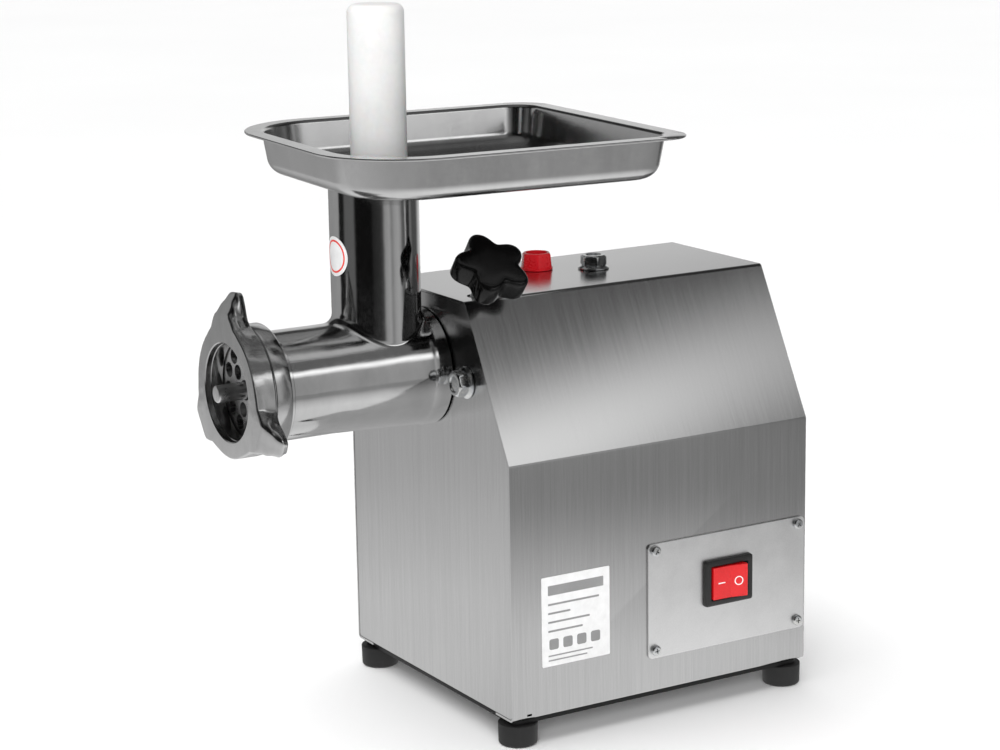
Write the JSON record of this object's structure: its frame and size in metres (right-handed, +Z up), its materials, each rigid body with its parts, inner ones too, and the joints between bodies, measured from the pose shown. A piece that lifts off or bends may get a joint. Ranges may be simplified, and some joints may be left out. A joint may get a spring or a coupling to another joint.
{
  "type": "electric meat grinder",
  "caption": "Countertop electric meat grinder: brushed sheet housing with sloped shoulders on rubber feet, clamped screw-feed head with ring nut, tray, pusher and side rocker switch.",
  "frame": {"origin": "on the table, under the middle of the whole object, tray and head included", "axes": "-Y is the outlet side, +X the side with the switch, +Z up; the housing middle plane is at x = -2.49 mm"},
  "size_m": [0.1984, 0.3334, 0.395],
  "materials": {
    "brushed_stainless": "brushed stainless sheet with a fine vertical grain",
    "polished_stainless": "polished cast stainless steel",
    "tray_stainless": "pressed stainless sheet, nearly mirror bright",
    "satin_plate": "satin steel plate",
    "machined_steel": "machined steel",
    "zinc": "bright zinc plated steel",
    "cast_aluminium": "cast aluminium",
    "motor_laminations": "dark steel laminations with varnish",
    "black_paint": "black painted sheet",
    "black_plastic": "glossy black plastic",
    "red_plastic": "glossy red plastic",
    "white_plastic": "smooth white plastic",
    "rubber": "black rubber",
    "label": "white film label"
  },
  "bodies": {
    "housing": {"housing_wrapper": "brushed_stainless", "front_panel": "brushed_stainless", "rear_panel": "brushed_stainless", "base_plate": "black_paint", "control_plate": "satin_plate", "switch_body": "black_plastic", "rating_label": "label", "oil_plug": "red_plastic", "cable_gland": "black_plastic", "gearbox_body": "cast_aluminium", "gearbox_cover": "cast_aluminium", "front_bearing": "machined_steel", "rear_bearing": "machined_steel", "motor_front_bell": "cast_aluminium", "motor_rear_bell": "cast_aluminium", "motor_front_bearing": "machined_steel", "motor_rear_bearing": "machined_steel", "motor_stator": "motor_laminations", "capacitor": "white_plastic", "capacitor_cradle": "zinc", "top_bolt": "zinc", "front_bolt_left": "zinc", "front_bolt_right": "zinc", "foot_1": "rubber", "foot_screw_1": "zinc", "panel_screw_1": "zinc", "rear_screw_1": "zinc", "foot_2": "rubber", "foot_screw_2": "zinc", "panel_screw_2": "zinc", "rear_screw_2": "zinc", "foot_3": "rubber", "foot_screw_3": "zinc", "panel_screw_3": "zinc", "rear_screw_3": "zinc", "foot_4": "rubber", "foot_screw_4": "zinc", "panel_screw_4": "zinc", "rear_screw_4": "zinc"},
    "head": {"grinder_head": "polished_stainless", "hole_plate": "machined_steel", "round_label": "label"},
    "auger": {"auger": "machined_steel", "auger_stud": "machined_steel", "cross_knife": "machined_steel"},
    "ring_nut": {"ring_nut": "polished_stainless"},
    "tray": {"meat_tray": "tray_stainless"},
    "pusher": {"pusher": "white_plastic"},
    "clamp": {"clamp_knob": "black_plastic", "clamp_screw": "zinc"},
    "rocker": {"switch_rocker": "red_plastic"},
    "rotor": {"motor_rotor": "motor_laminations", "motor_shaft": "machined_steel", "motor_pinion": "machined_steel", "motor_fan": "black_plastic"},
    "idler": {"idler_shaft": "machined_steel", "idler_gear": "machined_steel", "idler_pinion": "machined_steel"},
    "output": {"output_shaft": "machined_steel", "output_gear": "machined_steel"}
  },
  "joints": [
    {"name": "head_slide", "type": "slide", "parent": "housing", "child": "head", "axis": [0, -1, 0], "range_m": [0, 0.06]},
    {"name": "ring_nut_turn", "type": "hinge", "parent": "head", "child": "ring_nut", "pos_m": [-0.00249, -0.14875, 0.1965], "axis": [0, -1, 0], "range_deg": [0, 900]},
    {"name": "tray_lift", "type": "slide", "parent": "head", "child": "tray", "axis": [0, 0, 1], "range_m": [0, 0.115]},
    {"name": "pusher_lift", "type": "slide", "parent": "head", "child": "pusher", "axis": [0, 0, 1], "range_m": [0, 0.18]},
    {"name": "clamp_turn", "type": "hinge", "parent": "housing", "child": "clamp", "pos_m": [0.04204, -0.02675, 0.25051], "axis": [0.6361, 0, 0.7716], "range_deg": [0, 720]},
    {"name": "switch_rock", "type": "hinge", "parent": "housing", "child": "rocker", "pos_m": [0.08461, 0.09905, 0.0721], "axis": [0, 0, 1], "range_deg": [0, 14]},
    {"name": "motor_spin", "type": "hinge", "parent": "housing", "child": "rotor", "pos_m": [-0.00249, 0.09925, 0.1175], "axis": [0, 1, 0], "continuous": true},
    {"name": "idler_spin", "type": "hinge", "parent": "housing", "child": "idler", "pos_m": [0.00196, 0.04425, 0.15474], "axis": [0, 1, 0], "continuous": true},
    {"name": "output_spin", "type": "hinge", "parent": "housing", "child": "output", "pos_m": [-0.00249, 0.03525, 0.1965], "axis": [0, 1, 0], "continuous": true},
    {"name": "auger_spin", "type": "hinge", "parent": "head", "child": "auger", "pos_m": [-0.00249, -0.07075, 0.1965], "axis": [0, 1, 0], "continuous": true}
  ],
  "couplings": [
    {"joint": "idler_spin", "follows": "motor_spin", "ratio": -0.31579},
    {"joint": "output_spin", "follows": "motor_spin", "ratio": 0.12632},
    {"joint": "auger_spin", "follows": "motor_spin", "ratio": 0.12632}
  ]
}
